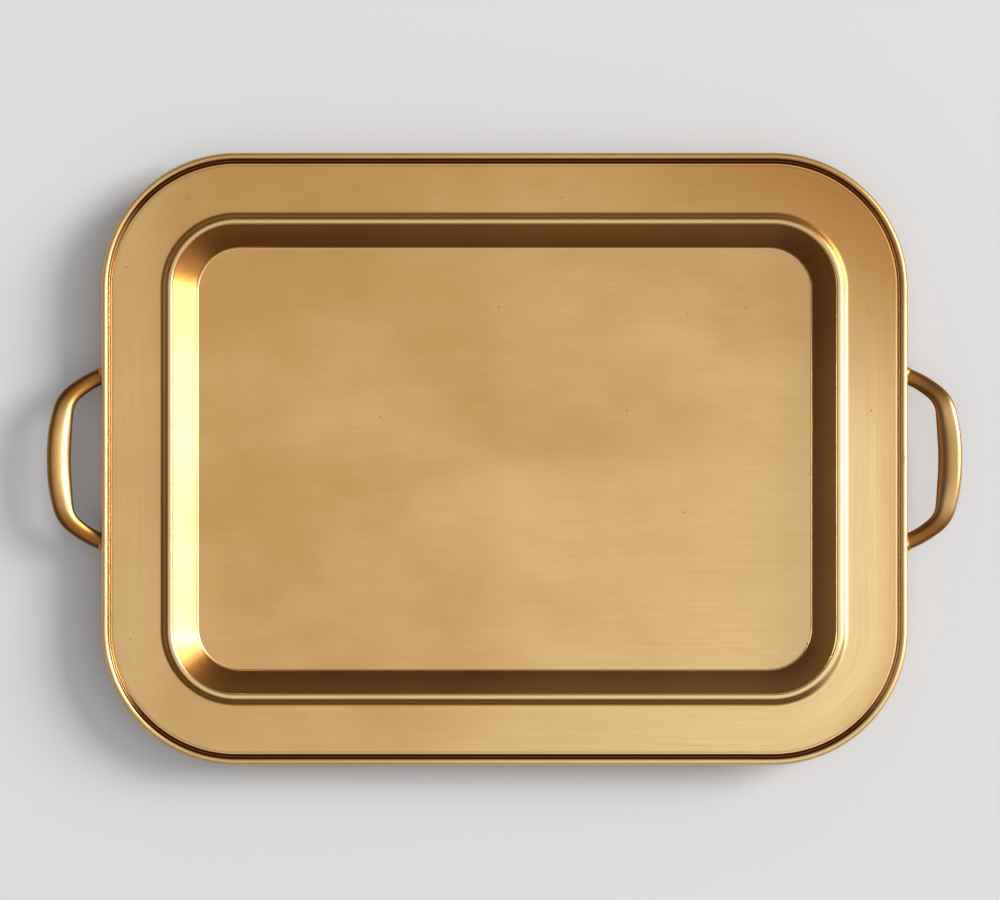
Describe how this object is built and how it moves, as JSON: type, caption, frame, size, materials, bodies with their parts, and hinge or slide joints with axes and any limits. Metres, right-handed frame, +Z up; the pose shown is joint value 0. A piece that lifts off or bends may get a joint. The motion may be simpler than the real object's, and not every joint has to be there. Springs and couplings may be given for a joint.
{
  "type": "serving tray",
  "caption": "Rectangular brass serving tray with a deep well, a wide flat flange, a wired round edge and a fixed bail-shaped handle at each end.",
  "frame": {"origin": "middle of the underside of the floor, in the plane the tray stands on", "axes": "+X along the tray towards the right handle, +Y across the tray, +Z up"},
  "size_m": [0.6126, 0.41, 0.0371],
  "materials": {
    "brushed_brass_sheet": "satin, finely brushed along the sides, antiqued, with burnished edges",
    "edge_wire": "drawn wire, unseen",
    "cast_brass": "smooth cast brass, hand polished to a soft gloss and antiqued",
    "braze_metal": "darker braze metal, smooth"
  },
  "bodies": {
    "root": {"tray_pan": "brushed_brass_sheet", "rim_wire": "edge_wire", "right_handle": "cast_brass", "left_handle": "cast_brass", "right_handle_braze": "braze_metal", "left_handle_braze": "braze_metal"}
  },
  "joints": []
}
